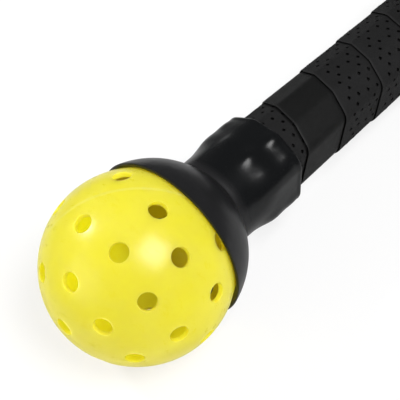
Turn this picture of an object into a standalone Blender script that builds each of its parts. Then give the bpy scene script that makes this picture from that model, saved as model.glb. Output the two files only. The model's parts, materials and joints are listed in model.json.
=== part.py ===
"""Pickleball retriever: a moulded rubber cup that holds the ball, pushed on a paddle's wrapped handle.

Every piece is laid out along local +X, from the ball's centre towards the paddle, with local +Z up.
One empty then tips the whole thing so that it lies on the ball and on the handle's collar.
"""

import math

import bmesh
import bpy
from mathutils import Matrix, Vector

MM = 0.001

# The gap that is left between two pieces that touch.
CLEARANCE = 0.3 * MM

# Ball: two equal half mouldings, welded at the equator. The second one is turned over.
BALL_RADIUS = 37.0 * MM
BALL_WALL = 2.0 * MM
BALL_HOLE_RADIUS = 3.65 * MM
BALL_WELD_GAP = 0.3 * MM
# The rings of holes in a half, from the pole: how many holes, their latitude and first longitude in degrees.
BALL_RING_COUNTS = (4, 8, 8)
BALL_RING_LATITUDES = (68.1, 39.7, 15.4)
BALL_RING_LONGITUDES = (65.6, 0.0, 18.8)
# The second half is turned over about the equator's diameter at this longitude, in degrees.
BALL_TURNOVER_LONGITUDE = 51.2
# How the ball happened to be caught in the cup, in degrees about X, Y and Z.
BALL_CAUGHT_ANGLES = (78.9, -11.8, -41.4)

# Cup: a bell with a thin lip, a short neck, and a sleeve that is stretched over the butt.
LIP_FROM_BALL_CENTRE = 17.4 * MM
LIP_WALL = 1.6 * MM
LIP_ROUNDING = 0.3 * MM
# The bell's outside is a sphere whose centre lies this far behind the ball's, towards the handle.
BELL_CENTRE = 8.3 * MM
BELL_WALL = 2.4 * MM
NECK_RADIUS = 18.7 * MM
NECK_FILLET = 3.0 * MM
NECK_LENGTH = 5.5 * MM
NECK_TO_SLEEVE = 15.0 * MM
WEB_THICKNESS = 10.0 * MM
SLEEVE_WALL = 2.0 * MM
# The sleeve's wall is thicker by this much at the socket's floor, and the socket itself is straight.
SLEEVE_SWELL = 0.8 * MM
SOCKET_DEPTH = 21.5 * MM
RIM_BEAD = 0.3 * MM
RIM_ROUNDING = 0.9 * MM

# Wrapped grip: a flat sided octagon with rounded edges, measured over the tape.
GRIP_HALF_WIDTH = 15.8 * MM
GRIP_HALF_DEPTH = 15.1 * MM
GRIP_CORNER_CUT_WIDTH = 10.2 * MM
GRIP_CORNER_CUT_DEPTH = 6.1 * MM
GRIP_EDGE_RADIUS = 5.0 * MM
GRIP_LENGTH = 133.0 * MM

# Grip tape: one band, wound from the butt so that each turn's ball side edge stands proud.
TAPE_PITCH = 23.4 * MM
TAPE_THICKNESS = 1.6 * MM
TAPE_EDGE_STEP = 0.5 * MM
TAPE_TURN_GAP = 0.6 * MM
TAPE_END_WIDTH = 2.0 * MM
# From the butt's face to where a raised edge passes the upper corner on the -Y side.
TAPE_EDGE_FROM_BUTT = 28.0 * MM

# Butt cap: a moulded cap whose skirt goes over the core's end. Its flange ends flush with the tape.
BUTT_FLANGE_THICKNESS = 1.2 * MM
BUTT_PLATE_THICKNESS = 2.0 * MM
BUTT_SKIRT_WALL = 1.5 * MM
BUTT_SKIRT_LENGTH = 18.0 * MM

# Handle core: the paddle's tongue, a honeycomb core between two skins, with a pallet glued on each face.
TONGUE_CORE_THICKNESS = 13.0 * MM
TONGUE_SKIN_THICKNESS = 0.8 * MM
PALLET_PAST_GRIP = 3.5 * MM
PALLET_END_BEVEL = 1.0 * MM
TONGUE_PAST_PALLETS = 10.0 * MM

# Bands that close the wrap at its upper end.
FINISHING_TAPE_WIDTH = 14.0 * MM
FINISHING_TAPE_THICKNESS = 0.4 * MM
COLLAR_WIDTH = 10.0 * MM
COLLAR_THICKNESS = 1.5 * MM
COLLAR_ROUNDING = 0.5 * MM

# How finely round shapes are divided.
CUP_SIDES = 48
BALL_SIDES = 36
BALL_RINGS = 9
HOLE_SIDES = 12
EDGE_STEPS = 2
FINE_EDGE_STEPS = 8

# The bell's sizes that follow from the ball and the lip.
SEAT_RADIUS = BALL_RADIUS + CLEARANCE
LIP_INNER_RADIUS = math.sqrt(SEAT_RADIUS ** 2 - LIP_FROM_BALL_CENTRE ** 2)
LIP_OUTER_RADIUS = LIP_INNER_RADIUS + LIP_WALL
BELL_RADIUS = math.hypot(LIP_FROM_BALL_CENTRE - BELL_CENTRE, LIP_OUTER_RADIUS)
CAVITY_RADIUS = BELL_RADIUS - BELL_WALL

# Places along the handle that follow from the sizes above.
BELL_FLOOR = BELL_CENTRE + CAVITY_RADIUS
SOCKET_FLOOR = BELL_FLOOR + WEB_THICKNESS
SOCKET_MOUTH = SOCKET_FLOOR + SOCKET_DEPTH
BUTT_FACE = SOCKET_FLOOR + CLEARANCE
GRIP_END = BUTT_FACE + GRIP_LENGTH
PALLET_END = GRIP_END + PALLET_PAST_GRIP
TONGUE_END = PALLET_END + TONGUE_PAST_PALLETS
CORE_OFFSET = -(TAPE_THICKNESS + CLEARANCE)
FINISHING_TAPE_OFFSET = CLEARANCE + FINISHING_TAPE_THICKNESS
COLLAR_OFFSET = FINISHING_TAPE_OFFSET + CLEARANCE + COLLAR_THICKNESS


def clear_scene():
    """Remove what the file opened with."""
    for old in list(bpy.data.objects):
        bpy.data.objects.remove(old, do_unlink=True)


def make_material(name, colour, roughness, metallic=0.0):
    """A plain Principled material."""
    material = bpy.data.materials.new(name)
    material.use_nodes = True
    shader = material.node_tree.nodes["Principled BSDF"]
    shader.inputs["Base Color"].default_value = (*colour, 1.0)
    shader.inputs["Roughness"].default_value = roughness
    shader.inputs["Metallic"].default_value = metallic
    material.diffuse_color = (*colour, 1.0)
    return material


def make_empty(name, parent=None):
    """An empty that carries a group of pieces."""
    empty = bpy.data.objects.new(name, None)
    empty.empty_display_size = 0.02
    bpy.context.collection.objects.link(empty)
    empty.parent = parent
    return empty


def make_object(name, mesh, parent, material):
    """Link a mesh as a named piece under its parent."""
    if not mesh.materials:
        mesh.materials.append(material)
    piece = bpy.data.objects.new(name, mesh)
    bpy.context.collection.objects.link(piece)
    piece.parent = parent
    return piece


def finish_mesh(name, builder):
    """Turn an edit mesh into a mesh with smooth rounds and crisp edges."""
    bmesh.ops.recalc_face_normals(builder, faces=builder.faces)
    mesh = bpy.data.meshes.new(name)
    builder.to_mesh(mesh)
    builder.free()
    mesh.shade_smooth()
    mesh.set_sharp_from_angle(angle=math.radians(32))
    return mesh


def add_skin(builder, rings, first_tip=None, last_tip=None):
    """Join rings of equal count with quads, and close each end with a fan to its tip or one flat face."""
    rows = [[builder.verts.new(point) for point in ring] for ring in rings]
    count = len(rows[0])
    for row, following in zip(rows, rows[1:]):
        for i in range(count):
            j = (i + 1) % count
            builder.faces.new((row[i], row[j], following[j], following[i]))
    for row, tip in ((rows[0], first_tip), (rows[-1], last_tip)):
        if tip is None:
            builder.faces.new(row)
            continue
        middle = builder.verts.new(tip)
        for i in range(count):
            builder.faces.new((row[i], row[(i + 1) % count], middle))


def skin_mesh(name, rings, first_tip=None, last_tip=None):
    """One closed body from a list of rings."""
    builder = bmesh.new()
    add_skin(builder, rings, first_tip, last_tip)
    return finish_mesh(name, builder)


def grip_corners(steps):
    """The grip's section as pairs of a corner's centre and a direction out of it, as (y, z) vectors.

    The walk starts at the upper corner on the -Y side and goes over the top. A point at an offset lies
    at centre + direction * (edge radius + offset), so the flats of every offset stay parallel.
    """
    width, depth = GRIP_HALF_WIDTH, GRIP_HALF_DEPTH
    low_width = width - GRIP_CORNER_CUT_WIDTH
    low_depth = depth - GRIP_CORNER_CUT_DEPTH
    corners = [Vector(pair) for pair in (
        (-width, low_depth), (-low_width, depth), (low_width, depth), (width, low_depth),
        (width, -low_depth), (low_width, -depth), (-low_width, -depth), (-width, -low_depth))]
    pairs = []
    for i, corner in enumerate(corners):
        before = corner - corners[i - 1]
        after = corners[(i + 1) % len(corners)] - corner
        normals = [Vector((-run.y, run.x)).normalized() for run in (before, after)]
        back = GRIP_EDGE_RADIUS / (1.0 + normals[0].dot(normals[1]))
        centre = corner - (normals[0] + normals[1]) * back
        for step in range(steps + 1):
            direction = normals[0].slerp(normals[1], step / steps)
            pairs.append((centre, direction))
    return pairs


def grip_point(pair, along, offset):
    """A point of the grip's section at a place along the handle and an offset from the wrapped surface."""
    centre, direction = pair
    flat = centre + direction * (GRIP_EDGE_RADIUS + offset)
    return Vector((along, flat.x, flat.y))


def grip_ring(along, offset):
    """The whole section at an offset."""
    return [grip_point(pair, along, offset) for pair in grip_corners(EDGE_STEPS)]


def grip_reach(angle, offset):
    """Distance from the axis to the grip's section at an angle from +Y, at an offset."""
    outline = [centre + direction * (GRIP_EDGE_RADIUS + offset)
               for centre, direction in grip_corners(FINE_EDGE_STEPS)]
    ray = Vector((math.cos(angle), math.sin(angle)))
    for start, end in zip(outline, outline[1:] + outline[:1]):
        run = end - start
        across = ray.x * run.y - ray.y * run.x
        if abs(across) < 1e-12:
            continue
        reach = (start.x * run.y - start.y * run.x) / across
        share = (start.x * ray.y - start.y * ray.x) / across
        if reach > 0.0 and -1e-6 <= share <= 1.0 + 1e-6:
            return reach
    raise ValueError("the section has no point at this angle")


def cup_ring(along, radius, grip_share=0.0, grip_offset=0.0):
    """A ring of the cup: round, or the grip's section at an offset, or a blend of the two."""
    ring = []
    for i in range(CUP_SIDES):
        angle = 2.0 * math.pi * i / CUP_SIDES
        reach = radius
        if grip_share > 0.0:
            reach += grip_share * (grip_reach(angle, grip_offset) - radius)
        ring.append(Vector((along, reach * math.cos(angle), reach * math.sin(angle))))
    return ring


def arc(centre_along, centre_radius, radius, start, end, steps):
    """Points (along, radius) on an arc, from one angle to another, where 0 points along +X."""
    points = []
    for step in range(steps + 1):
        angle = start + (end - start) * step / steps
        points.append((centre_along + radius * math.cos(angle), centre_radius + radius * math.sin(angle)))
    return points


def bell_profile():
    """The cup's round part as (along, radius), from the middle of the bell's floor over the lip to the neck.

    The ball touches only the seat, a band of its own sphere inside the lip. Where that sphere crosses the
    bell's inner one the wall turns away, so a pocket of air is left behind the ball.
    """
    lip = LIP_FROM_BALL_CENTRE
    seat_end = (SEAT_RADIUS ** 2 - CAVITY_RADIUS ** 2 + BELL_CENTRE ** 2) / (2.0 * BELL_CENTRE)
    seat_end_radius = math.sqrt(SEAT_RADIUS ** 2 - seat_end ** 2)
    cavity_end_angle = math.atan2(seat_end_radius, seat_end - BELL_CENTRE)
    profile = arc(BELL_CENTRE, 0.0, CAVITY_RADIUS, 0.1 * cavity_end_angle, cavity_end_angle, 7)
    seat_start_angle = math.atan2(seat_end_radius, seat_end)
    lip_inner_angle = math.acos((lip + LIP_ROUNDING) / SEAT_RADIUS)
    profile += arc(0.0, 0.0, SEAT_RADIUS, seat_start_angle, lip_inner_angle, 2)[1:]
    profile += [(lip, LIP_INNER_RADIUS + LIP_ROUNDING), (lip, LIP_OUTER_RADIUS - LIP_ROUNDING)]
    fillet_radius = NECK_RADIUS + NECK_FILLET
    fillet_along = BELL_CENTRE + math.sqrt((BELL_RADIUS + NECK_FILLET) ** 2 - fillet_radius ** 2)
    fillet_angle = math.atan2(fillet_radius, fillet_along - BELL_CENTRE)
    lip_outer_angle = math.acos((lip + LIP_ROUNDING - BELL_CENTRE) / BELL_RADIUS)
    profile += arc(BELL_CENTRE, 0.0, BELL_RADIUS, lip_outer_angle, fillet_angle, 9)
    bend = arc(fillet_along, fillet_radius, NECK_FILLET, math.pi + fillet_angle, 1.5 * math.pi, 3)
    return profile + bend[1:]


def sleeve_offset(along):
    """How far the sleeve's outside lies from the wrapped grip's surface at a place along the handle."""
    return CLEARANCE + SLEEVE_WALL + SLEEVE_SWELL * (SOCKET_MOUTH - along) / SOCKET_DEPTH


def retriever_cup(parent, material):
    """The one rubber moulding: bell, neck and sleeve, with the ball's seat in front and the socket behind."""
    profile = bell_profile()
    rings = [cup_ring(along, radius) for along, radius in profile]
    neck_start = profile[-1][0]
    neck_end = neck_start + NECK_LENGTH
    rings.append(cup_ring(neck_end, NECK_RADIUS))
    blend_steps = 4
    for step in range(1, blend_steps + 1):
        share = step / blend_steps
        along = neck_end + share * NECK_TO_SLEEVE
        eased = share * share * (3.0 - 2.0 * share)
        rings.append(cup_ring(along, NECK_RADIUS, eased, sleeve_offset(along)))
    rim = sleeve_offset(SOCKET_MOUTH) + RIM_BEAD
    for back, inset in ((3.0 * RIM_ROUNDING, RIM_BEAD), (1.0 * RIM_ROUNDING, 0.0),
                        (0.3 * RIM_ROUNDING, 0.3 * RIM_ROUNDING), (0.0, RIM_ROUNDING)):
        rings.append(cup_ring(SOCKET_MOUTH - back, NECK_RADIUS, 1.0, rim - inset))
    for along in (SOCKET_MOUTH, SOCKET_FLOOR):
        rings.append(cup_ring(along, NECK_RADIUS, 1.0, CLEARANCE))
    mesh = skin_mesh("retriever_cup", rings, Vector((BELL_FLOOR, 0.0, 0.0)), Vector((SOCKET_FLOOR, 0.0, 0.0)))
    return make_object("retriever_cup", mesh, parent, material)


def sphere_ring(radius, latitude):
    """A ring of the ball about its own pole."""
    height = radius * math.sin(latitude)
    reach = radius * math.cos(latitude)
    return [Vector((reach * math.cos(turn), reach * math.sin(turn), height))
            for turn in (2.0 * math.pi * i / BALL_SIDES for i in range(BALL_SIDES))]


def half_ball_mesh():
    """Half a ball's shell about +Z, open at the weld, before its holes are cut."""
    inner_radius = BALL_RADIUS - BALL_WALL
    weld_height = BALL_WELD_GAP / 2.0
    rings = []
    for radius, outwards in ((inner_radius, False), (BALL_RADIUS, True)):
        start = math.asin(weld_height / radius)
        shares = [ring / BALL_RINGS for ring in range(BALL_RINGS)]
        if not outwards:
            shares.reverse()
        rings += [sphere_ring(radius, start + (math.pi / 2.0 - start) * share) for share in shares]
    return skin_mesh("half_ball", rings, Vector((0.0, 0.0, inner_radius)), Vector((0.0, 0.0, BALL_RADIUS)))


def hole_cutter_mesh():
    """The pins that leave the holes of one half, all pointing at the ball's centre."""
    builder = bmesh.new()
    start = BALL_RADIUS - 3.0 * BALL_WALL
    end = BALL_RADIUS + 2.0 * BALL_WALL
    for count, latitude, first in zip(BALL_RING_COUNTS, BALL_RING_LATITUDES, BALL_RING_LONGITUDES):
        for i in range(count):
            longitude = math.radians(first + 360.0 * i / count)
            tip = math.pi / 2.0 - math.radians(latitude)
            aim = Matrix.Rotation(longitude, 4, "Z") @ Matrix.Rotation(tip, 4, "Y")
            rings = []
            turns = [2.0 * math.pi * side / HOLE_SIDES for side in range(HOLE_SIDES)]
            for reach in (start, end):
                rings.append([aim @ Vector((BALL_HOLE_RADIUS * math.cos(turn),
                                            BALL_HOLE_RADIUS * math.sin(turn), reach)) for turn in turns])
            add_skin(builder, rings)
    return finish_mesh("ball_hole_pins", builder)


def ball_halves(parent, material):
    """Both halves of the ball, cut by the same pins."""
    shell = half_ball_mesh()
    pins = hole_cutter_mesh()
    caught = Matrix.Identity(4)
    for degrees, axis in zip(BALL_CAUGHT_ANGLES, "XYZ"):
        caught = Matrix.Rotation(math.radians(degrees), 4, axis) @ caught
    turnover = math.radians(BALL_TURNOVER_LONGITUDE)
    hinge = Vector((math.cos(turnover), math.sin(turnover), 0.0))
    turned_over = caught @ Matrix.Rotation(math.pi, 4, hinge)
    halves = []
    for name, placing in (("ball_half_front", caught), ("ball_half_back", turned_over)):
        half = make_object(name, shell, parent, material)
        half.matrix_local = placing
        cutter = make_object(name + "_pins", pins, parent, material)
        cutter.matrix_local = placing
        cutter.hide_render = True
        cutter.display_type = "WIRE"
        cut = half.modifiers.new("holes", "BOOLEAN")
        cut.operation = "DIFFERENCE"
        cut.solver = "EXACT"
        cut.object = cutter
        halves.append(half)
    return halves


def butt_cap(parent, material):
    """The moulded cap on the core's end: plate, flange, and a skirt under the tape."""
    plate_inside = BUTT_FACE + BUTT_PLATE_THICKNESS
    flange_end = BUTT_FACE + BUTT_FLANGE_THICKNESS
    skirt_end = BUTT_FACE + BUTT_SKIRT_LENGTH
    inside = CORE_OFFSET - BUTT_SKIRT_WALL
    rings = [
        grip_ring(BUTT_FACE, 0.0),
        grip_ring(flange_end, 0.0),
        grip_ring(flange_end, CORE_OFFSET),
        grip_ring(skirt_end, CORE_OFFSET),
        grip_ring(skirt_end, inside),
        grip_ring(plate_inside, inside),
    ]
    return make_object("butt_cap", skin_mesh("butt_cap", rings), parent, material)


def core_slice(name, low, high, end, end_bevel, parent, material):
    """A layer of the handle's core between two heights, stepped down where the butt cap goes over it."""
    start = BUTT_FACE + BUTT_PLATE_THICKNESS + CLEARANCE
    shoulder = BUTT_FACE + BUTT_SKIRT_LENGTH + CLEARANCE
    spigot = CORE_OFFSET - BUTT_SKIRT_WALL - CLEARANCE
    rings = [grip_ring(start, spigot), grip_ring(shoulder, spigot), grip_ring(shoulder, CORE_OFFSET)]
    if end_bevel > 0.0:
        rings += [grip_ring(end - end_bevel, CORE_OFFSET), grip_ring(end, CORE_OFFSET - end_bevel)]
    else:
        rings.append(grip_ring(end, CORE_OFFSET))
    builder = bmesh.new()
    add_skin(builder, rings)
    for height, up in ((low, -1.0), (high, 1.0)):
        if height is None:
            continue
        bmesh.ops.bisect_plane(builder, geom=builder.verts[:] + builder.edges[:] + builder.faces[:],
                               plane_co=(0.0, 0.0, height), plane_no=(0.0, 0.0, up), clear_outer=True)
        rim = [edge for edge in builder.edges if edge.is_boundary]
        bmesh.ops.holes_fill(builder, edges=rim, sides=0)
    return make_object(name, finish_mesh(name, builder), parent, material)


def handle_core(parent, materials):
    """The tongue's core and skins, and the two pallets that make the handle thick."""
    core = TONGUE_CORE_THICKNESS / 2.0
    skin_low = core + CLEARANCE
    skin_high = skin_low + TONGUE_SKIN_THICKNESS
    pallet_low = skin_high + CLEARANCE
    core_slice("tongue_core", -core, core, TONGUE_END, 0.0, parent, materials["core"])
    core_slice("tongue_skin_upper", skin_low, skin_high, TONGUE_END, 0.0, parent, materials["skin"])
    core_slice("tongue_skin_lower", -skin_high, -skin_low, TONGUE_END, 0.0, parent, materials["skin"])
    core_slice("pallet_upper", pallet_low, None, PALLET_END, PALLET_END_BEVEL, parent, materials["pallet"])
    core_slice("pallet_lower", None, -pallet_low, PALLET_END, PALLET_END_BEVEL, parent, materials["pallet"])


def tape_sections():
    """Cross sections of the wound band, in order from the butt to the grip's end.

    The band's two ends are cut to a point, so the wrap begins and stops square to the handle.
    """
    pairs = grip_corners(EDGE_STEPS)
    walk = [grip_point(pair, 0.0, 0.0) for pair in pairs]
    lengths = [(after - before).length for before, after in zip(walk, walk[1:] + walk[:1])]
    start = BUTT_FACE + BUTT_FLANGE_THICKNESS + CLEARANCE
    crossing = BUTT_FACE + TAPE_EDGE_FROM_BUTT
    first_turn = math.floor((start - crossing) / TAPE_PITCH) - 1
    last_turn = math.ceil((GRIP_END - crossing) / TAPE_PITCH) + 1
    sections = []
    for turn in range(first_turn, last_turn):
        travelled = 0.0
        for pair, length in zip(pairs, lengths):
            edge = crossing + TAPE_PITCH * (turn + travelled / sum(lengths))
            travelled += length
            near = max(start, edge)
            far = min(GRIP_END, edge + TAPE_PITCH - TAPE_TURN_GAP)
            if far - near < TAPE_END_WIDTH:
                continue
            middle = (near + far) / 2.0
            under = -TAPE_THICKNESS
            sections.append([grip_point(pair, along, offset) for along, offset in (
                (near, under), (near, 0.0), (middle, -TAPE_EDGE_STEP / 2.0),
                (far, -TAPE_EDGE_STEP), (far, under), (middle, under))])
    return sections


def tape_self_gap(sections):
    """The least distance between points of the band that lie half a turn or more apart."""
    half_turn = len(grip_corners(EDGE_STEPS)) // 2
    least = float("inf")
    for i, section in enumerate(sections):
        for other in sections[i + half_turn:]:
            least = min(least, min((a - b).length for a in section for b in other))
    return least


def grip_tape(parent, material):
    """The tape as one unbroken band from the butt cap's flange to the grip's end."""
    sections = tape_sections()
    print(f"grip tape: least gap to itself {tape_self_gap(sections) / MM:.2f} mm")
    return make_object("grip_tape", skin_mesh("grip_tape", sections), parent, material)


def band_mesh(name, profile):
    """A closed band round the grip, whose cross section is given as (along, offset) points."""
    builder = bmesh.new()
    rows = [[builder.verts.new(point) for point in grip_ring(along, offset)] for along, offset in profile]
    count = len(rows[0])
    for row, following in zip(rows, rows[1:] + rows[:1]):
        for i in range(count):
            j = (i + 1) % count
            builder.faces.new((row[i], row[j], following[j], following[i]))
    return finish_mesh(name, builder)


def end_bands(parent, materials):
    """The finishing tape over the band's cut end, and the rubber collar, whose inner lip closes the end."""
    finish_end = GRIP_END + CLEARANCE
    finish_start = finish_end - FINISHING_TAPE_WIDTH
    edge = FINISHING_TAPE_OFFSET - FINISHING_TAPE_THICKNESS / 4.0
    ease = FINISHING_TAPE_THICKNESS / 4.0
    mesh = band_mesh("finishing_tape", (
        (finish_start, CLEARANCE), (finish_start, edge), (finish_start + ease, FINISHING_TAPE_OFFSET),
        (finish_end, FINISHING_TAPE_OFFSET), (finish_end, CLEARANCE)))
    make_object("finishing_tape", mesh, parent, materials["finishing_tape"])
    collar_start = PALLET_END - COLLAR_WIDTH
    collar_edge = COLLAR_OFFSET - COLLAR_ROUNDING
    lip_start = finish_end + CLEARANCE
    mesh = band_mesh("collar_band", (
        (collar_start, FINISHING_TAPE_OFFSET + CLEARANCE), (collar_start, collar_edge),
        (collar_start + COLLAR_ROUNDING, COLLAR_OFFSET), (PALLET_END - COLLAR_ROUNDING, COLLAR_OFFSET),
        (PALLET_END, collar_edge), (PALLET_END, CORE_OFFSET + CLEARANCE),
        (lip_start, CORE_OFFSET + CLEARANCE), (lip_start, FINISHING_TAPE_OFFSET + CLEARANCE)))
    make_object("collar_band", mesh, parent, materials["collar"])


def rest_tilt():
    """How far the handle's far end dips when the ball, or the bell's lip, and the collar touch the floor."""
    collar_along = PALLET_END - COLLAR_ROUNDING
    collar_depth = GRIP_HALF_DEPTH + COLLAR_OFFSET
    on_ball = math.asin(BALL_RADIUS / math.hypot(collar_along, collar_depth))
    on_ball -= math.atan2(collar_depth, collar_along)
    on_lip = math.atan2(LIP_OUTER_RADIUS - collar_depth, collar_along - LIP_FROM_BALL_CENTRE)
    return max(on_ball, on_lip)


def stand_on_origin(root):
    """Move everything so that the whole box stands on the origin, centred over it."""
    bpy.context.view_layer.update()
    graph = bpy.context.evaluated_depsgraph_get()
    corners = []
    for piece in bpy.data.objects:
        if piece.type == "MESH" and not piece.hide_render:
            body = piece.evaluated_get(graph)
            corners += [body.matrix_world @ vertex.co for vertex in body.data.vertices]
    low = Vector([min(corner[k] for corner in corners) for k in range(3)])
    high = Vector([max(corner[k] for corner in corners) for k in range(3)])
    root.location -= Vector(((low.x + high.x) / 2.0, (low.y + high.y) / 2.0, low.z))
    bpy.context.view_layer.update()


def build():
    """Make every piece under the empties that carry them."""
    clear_scene()
    rubber = make_material("black_rubber", (0.012, 0.012, 0.013), 0.38)
    ball_plastic = make_material("yellow_plastic", (0.87, 0.80, 0.05), 0.42)
    tape = make_material("grip_tape", (0.018, 0.018, 0.018), 0.72)
    materials = {
        "cap": make_material("cap_plastic", (0.02, 0.02, 0.02), 0.5),
        "core": make_material("honeycomb_core", (0.75, 0.76, 0.74), 0.6),
        "skin": make_material("fibre_skin", (0.03, 0.03, 0.032), 0.35),
        "pallet": make_material("foam_pallet", (0.62, 0.50, 0.34), 0.8),
        "finishing_tape": make_material("finishing_tape", (0.015, 0.015, 0.016), 0.35),
        "collar": make_material("collar_rubber", (0.02, 0.02, 0.02), 0.6),
    }
    root = make_empty("retriever_frame")
    handle = make_empty("handle_carrier", root)
    cup = make_empty("cup_slide", root)
    ball = make_empty("ball_slide", cup)
    retriever_cup(cup, rubber)
    ball_halves(ball, ball_plastic)
    butt_cap(handle, materials["cap"])
    handle_core(handle, materials)
    grip_tape(handle, tape)
    end_bands(handle, materials)
    root.rotation_euler = (0.0, rest_tilt(), 0.0)
    stand_on_origin(root)
    mount = root.matrix_world @ Vector((TONGUE_END, 0.0, 0.0))
    centre = root.matrix_world @ Vector((0.0, 0.0, 0.0))
    print(f"rest tilt {math.degrees(rest_tilt()):.4f} degrees")
    print("ball centre", [round(value, 6) for value in centre])
    print("middle of the tongue's end", [round(value, 6) for value in mount])


build()
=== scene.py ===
"""Looks of a pickleball retriever: a rubber cup that holds a ball, pushed on a paddle's wrapped handle.

Every piece is modelled along local +X, from the ball's centre towards the paddle, with local +Z up, and is
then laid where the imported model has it.
"""

import json
import math

import bmesh
import bpy
from mathutils import Matrix, Vector


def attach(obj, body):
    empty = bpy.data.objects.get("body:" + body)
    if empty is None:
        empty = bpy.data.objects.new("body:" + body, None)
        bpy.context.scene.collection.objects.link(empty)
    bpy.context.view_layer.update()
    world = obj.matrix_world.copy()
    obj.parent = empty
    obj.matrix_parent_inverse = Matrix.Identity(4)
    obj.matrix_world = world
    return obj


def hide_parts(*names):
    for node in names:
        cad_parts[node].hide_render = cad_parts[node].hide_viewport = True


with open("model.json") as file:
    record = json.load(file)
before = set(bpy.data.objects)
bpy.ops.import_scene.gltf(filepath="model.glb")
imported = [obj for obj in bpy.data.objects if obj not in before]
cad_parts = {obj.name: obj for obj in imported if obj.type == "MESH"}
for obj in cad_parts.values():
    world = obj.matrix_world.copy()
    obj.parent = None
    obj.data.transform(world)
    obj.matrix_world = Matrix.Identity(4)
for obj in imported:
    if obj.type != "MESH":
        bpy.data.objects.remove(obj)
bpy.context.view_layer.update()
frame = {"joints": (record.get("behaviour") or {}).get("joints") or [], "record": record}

MM = 0.001
CLEARANCE = 0.3 * MM
TINY = 0.001 * MM

# How many sides the round shapes have.
CUP_SIDES = 168
CORE_SIDES = 128
BAND_SIDES = 144
BALL_SEGMENTS = 160
HOLE_SIDES = 40

# Ball.
BALL_RADIUS = 37.0 * MM
BALL_WALL = 2.0 * MM
BALL_HOLE_RADIUS = 3.65 * MM
BALL_RING_COUNTS = (4, 8, 8)
BALL_RING_LATITUDES = (68.1, 39.7, 15.4)
BALL_RING_LONGITUDES = (65.6, 0.0, 18.8)
BALL_TURNOVER_LONGITUDE = 51.2
BALL_CAUGHT_ANGLES = (78.9, -11.8, -41.4)

# Cup.
LIP_FROM_BALL_CENTRE = 17.4 * MM
LIP_WALL = 1.6 * MM
LIP_ROUNDING = 0.45 * MM
BELL_CENTRE = 8.3 * MM
BELL_WALL = 2.4 * MM
NECK_RADIUS = 18.7 * MM
NECK_FILLET = 3.0 * MM
NECK_LENGTH = 5.5 * MM
NECK_TO_SLEEVE = 15.0 * MM
WEB_THICKNESS = 10.0 * MM
SLEEVE_WALL = 2.0 * MM
SLEEVE_SWELL = 0.8 * MM
SOCKET_DEPTH = 21.5 * MM
RIM_BEAD = 0.3 * MM
RIM_ROUNDING = 0.9 * MM

# Wrapped grip, measured over the tape.
GRIP_HALF_WIDTH = 15.8 * MM
GRIP_HALF_DEPTH = 15.1 * MM
GRIP_CORNER_CUT_WIDTH = 10.2 * MM
GRIP_CORNER_CUT_DEPTH = 6.1 * MM
GRIP_EDGE_RADIUS = 5.0 * MM
GRIP_LENGTH = 133.0 * MM
TAPE_PITCH = 23.4 * MM
TAPE_THICKNESS = 1.6 * MM
TAPE_EDGE_STEP = 0.5 * MM
TAPE_EDGE_FROM_BUTT = 28.0 * MM

# Butt cap, handle core and end bands.
BUTT_FLANGE_THICKNESS = 1.2 * MM
BUTT_PLATE_THICKNESS = 2.0 * MM
BUTT_SKIRT_WALL = 1.5 * MM
BUTT_SKIRT_LENGTH = 18.0 * MM
TONGUE_CORE_THICKNESS = 13.0 * MM
TONGUE_SKIN_THICKNESS = 0.8 * MM
PALLET_PAST_GRIP = 3.5 * MM
PALLET_END_BEVEL = 1.0 * MM
TONGUE_PAST_PALLETS = 10.0 * MM
FINISHING_TAPE_WIDTH = 14.0 * MM
FINISHING_TAPE_THICKNESS = 0.4 * MM
COLLAR_WIDTH = 10.0 * MM
COLLAR_THICKNESS = 1.5 * MM

SEAT_RADIUS = BALL_RADIUS + CLEARANCE
LIP_INNER_RADIUS = math.sqrt(SEAT_RADIUS ** 2 - LIP_FROM_BALL_CENTRE ** 2)
LIP_OUTER_RADIUS = LIP_INNER_RADIUS + LIP_WALL
BELL_RADIUS = math.hypot(LIP_FROM_BALL_CENTRE - BELL_CENTRE, LIP_OUTER_RADIUS)
CAVITY_RADIUS = BELL_RADIUS - BELL_WALL
NECK_START = BELL_CENTRE + math.sqrt((BELL_RADIUS + NECK_FILLET) ** 2 - (NECK_RADIUS + NECK_FILLET) ** 2)
NECK_END = NECK_START + NECK_LENGTH
BELL_FLOOR = BELL_CENTRE + CAVITY_RADIUS
SOCKET_FLOOR = BELL_FLOOR + WEB_THICKNESS
SOCKET_MOUTH = SOCKET_FLOOR + SOCKET_DEPTH
BUTT_FACE = SOCKET_FLOOR + CLEARANCE
GRIP_END = BUTT_FACE + GRIP_LENGTH
PALLET_END = GRIP_END + PALLET_PAST_GRIP
TONGUE_END = PALLET_END + TONGUE_PAST_PALLETS
CORE_OFFSET = -(TAPE_THICKNESS + CLEARANCE)
FINISHING_TAPE_OFFSET = CLEARANCE + FINISHING_TAPE_THICKNESS
COLLAR_OFFSET = FINISHING_TAPE_OFFSET + CLEARANCE + COLLAR_THICKNESS

# The local axes in the frame: the cup slides along them, and the mount is at the tongue's end.
pull_off = next(joint for joint in frame["joints"] if joint["name"] == "cup_pull_off")
mount = next(place for place in frame["record"]["mounts"] if place["name"] == "tongue_end")
handle_way = -Vector(pull_off["axis"]).normalized()
side_way = Vector((0.0, 1.0, 0.0))
up_way = handle_way.cross(side_way)
handle_dip = math.atan2(-handle_way.z, handle_way.x)
ball_centre = Vector(mount["pos_m"]) - TONGUE_END * handle_way
LAY = Matrix((handle_way, side_way, up_way)).transposed().to_4x4()
LAY.translation = ball_centre


# Camera, at the photograph's viewing angle. Its axes are in the frame's directions.

CAMERA_RIGHT = Vector((0.6662, -0.7412, -0.0823)).normalized()
CAMERA_BACK = Vector((-0.3905, -0.4407, 0.8083))
CAMERA_FROM_BALL = (0.0231, 0.02473, 0.55614)
CAMERA_LENS = 135.0
CAMERA_SENSOR_WIDTH = 36.0


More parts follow.
